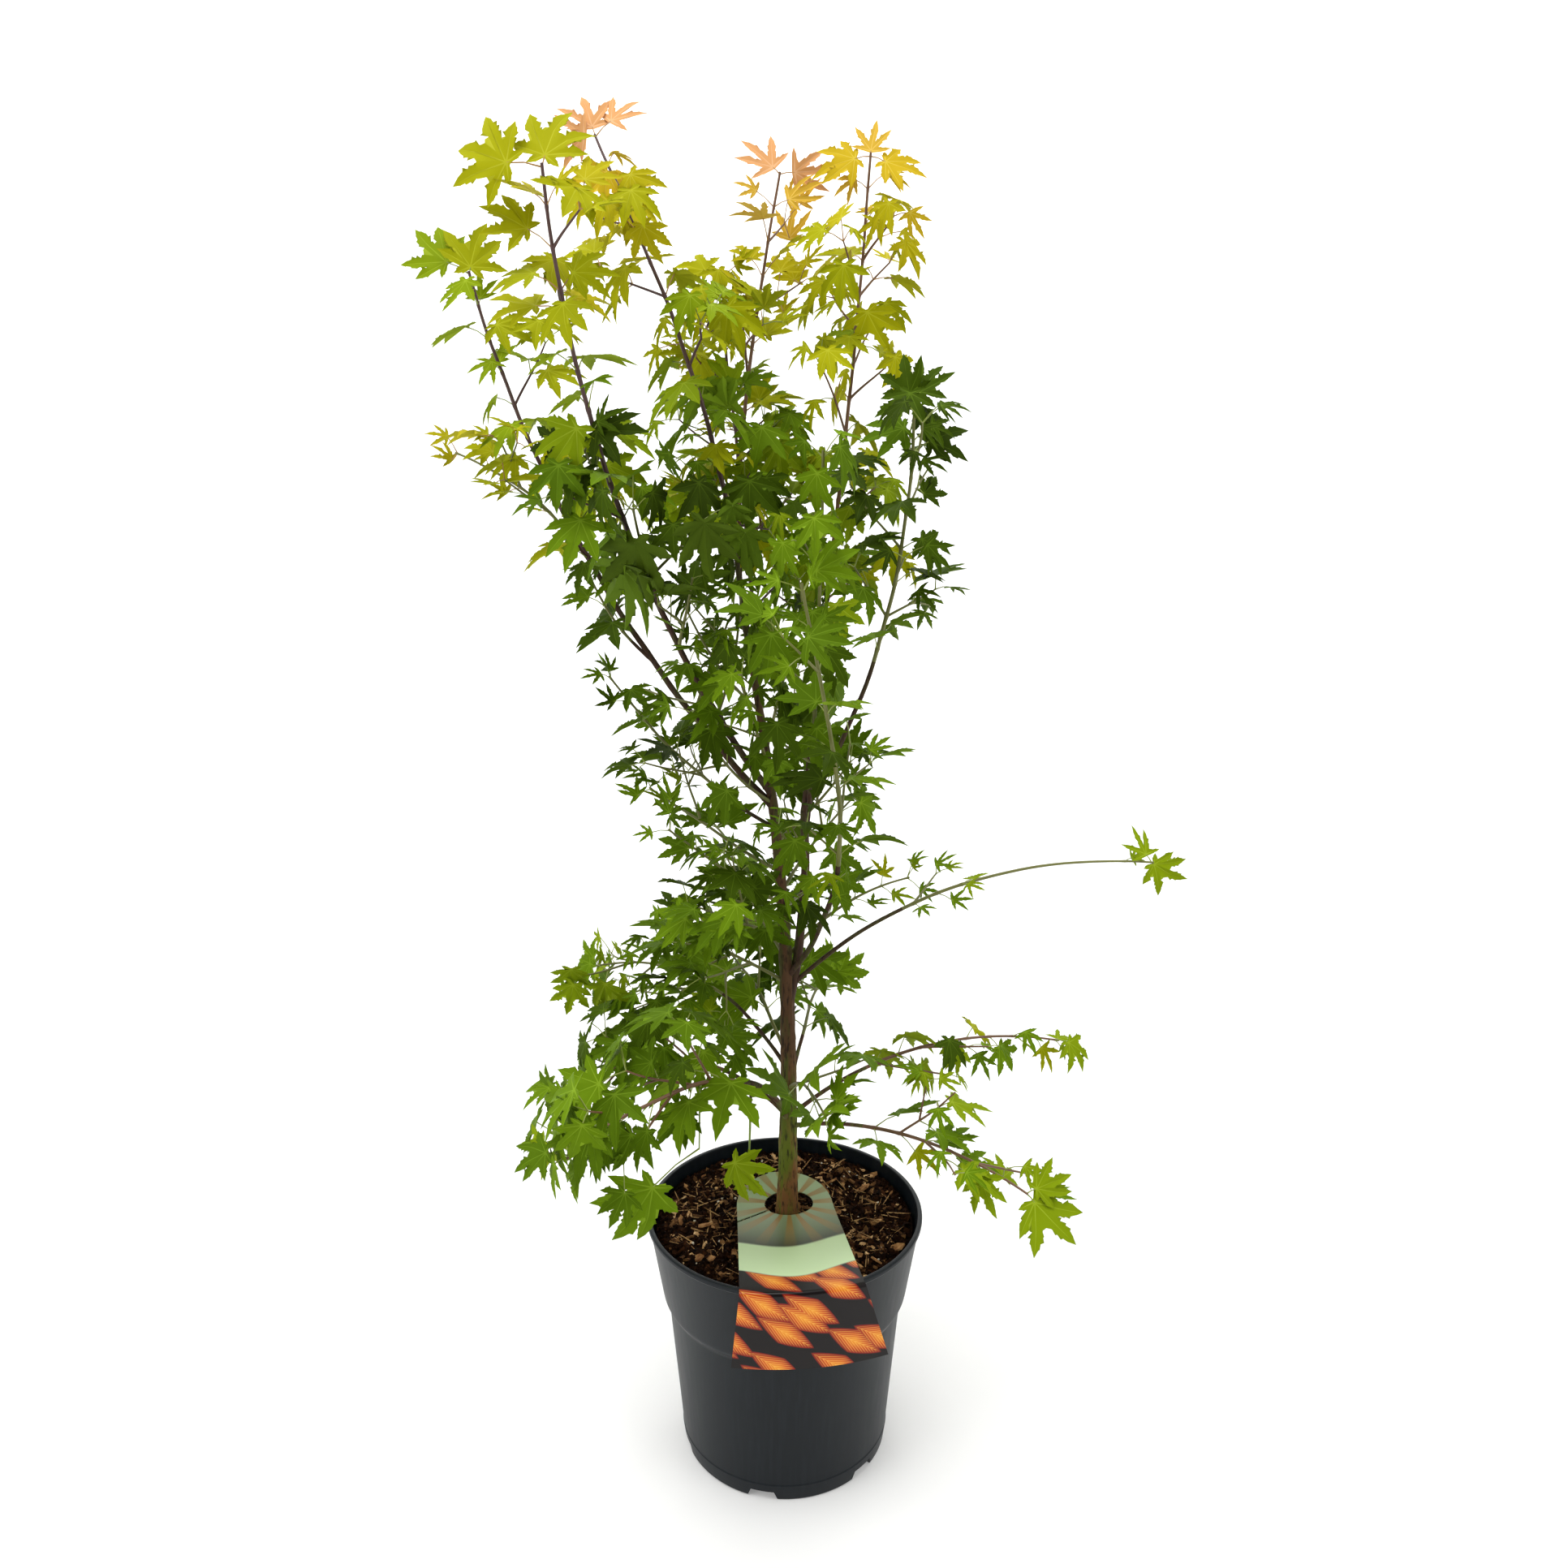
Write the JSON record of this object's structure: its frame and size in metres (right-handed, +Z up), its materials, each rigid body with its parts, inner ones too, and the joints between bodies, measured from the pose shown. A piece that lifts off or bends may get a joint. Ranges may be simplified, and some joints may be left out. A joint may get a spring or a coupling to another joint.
{
  "type": "potted japanese maple",
  "caption": "Young upright Japanese maple with slender boughs and open foliage, in a round plastic nursery pot filled with bark compost, with a plain plant label round its trunk.",
  "frame": {"origin": "centre of the pot's flat underside, on the surface that the pot stands on", "axes": "+Z up the trunk, +X to the right and -Y towards the viewer, as the plant is seen from the side where its label hangs"},
  "size_m": [0.4975, 0.3712, 0.8952],
  "materials": {
    "pot": "moulded polypropylene, dark grey, satin",
    "compost": "moist bark compost, dark brown with lighter chips",
    "label": "printed polypropylene sheet, satin",
    "bark": "brown to olive bark, finely fissured at the foot",
    "leaf": "soft leaves, green to yellow and peach at the tips"
  },
  "bodies": {
    "root": {"pot": "pot", "soil": "compost", "label": "label", "trunk": "bark", "bough_a": "bark", "bough_aLow": "bark", "bough_aOuter": "bark", "bough_arch": "bark", "bough_b": "bark", "bough_bLow": "bark", "bough_c": "bark", "bough_d": "bark", "bough_e": "bark", "bough_f": "bark", "bough_g": "bark", "bough_h": "bark", "bough_hanging": "bark", "bough_j": "bark", "bough_k": "bark", "bough_lowBack": "bark", "bough_lowFront": "bark", "bough_lowLeft": "bark", "bough_lowLeftBack": "bark", "bough_lowRight": "bark", "bough_lowRightBack": "bark", "bough_second": "bark", "leaves_a": "leaf", "leaves_aLow": "leaf", "leaves_aOuter": "leaf", "leaves_arch": "leaf", "leaves_b": "leaf", "leaves_bLow": "leaf", "leaves_backLeft": "leaf", "leaves_backRight": "leaf", "leaves_c": "leaf", "leaves_d": "leaf", "leaves_e": "leaf", "leaves_f": "leaf", "leaves_footBack": "leaf", "leaves_footFront": "leaf", "leaves_frontLeft": "leaf", "leaves_frontRight": "leaf", "leaves_g": "leaf", "leaves_h": "leaf", "leaves_hanging": "leaf", "leaves_j": "leaf", "leaves_k": "leaf", "leaves_kLow": "leaf", "leaves_left": "leaf", "leaves_lowBack": "leaf", "leaves_lowFront": "leaf", "leaves_lowLeft": "leaf", "leaves_lowLeftBack": "leaf", "leaves_lowRight": "leaf", "leaves_lowRightBack": "leaf", "leaves_midBack": "leaf", "leaves_midFront": "leaf", "leaves_midRight": "leaf", "leaves_right": "leaf"}
  },
  "joints": []
}
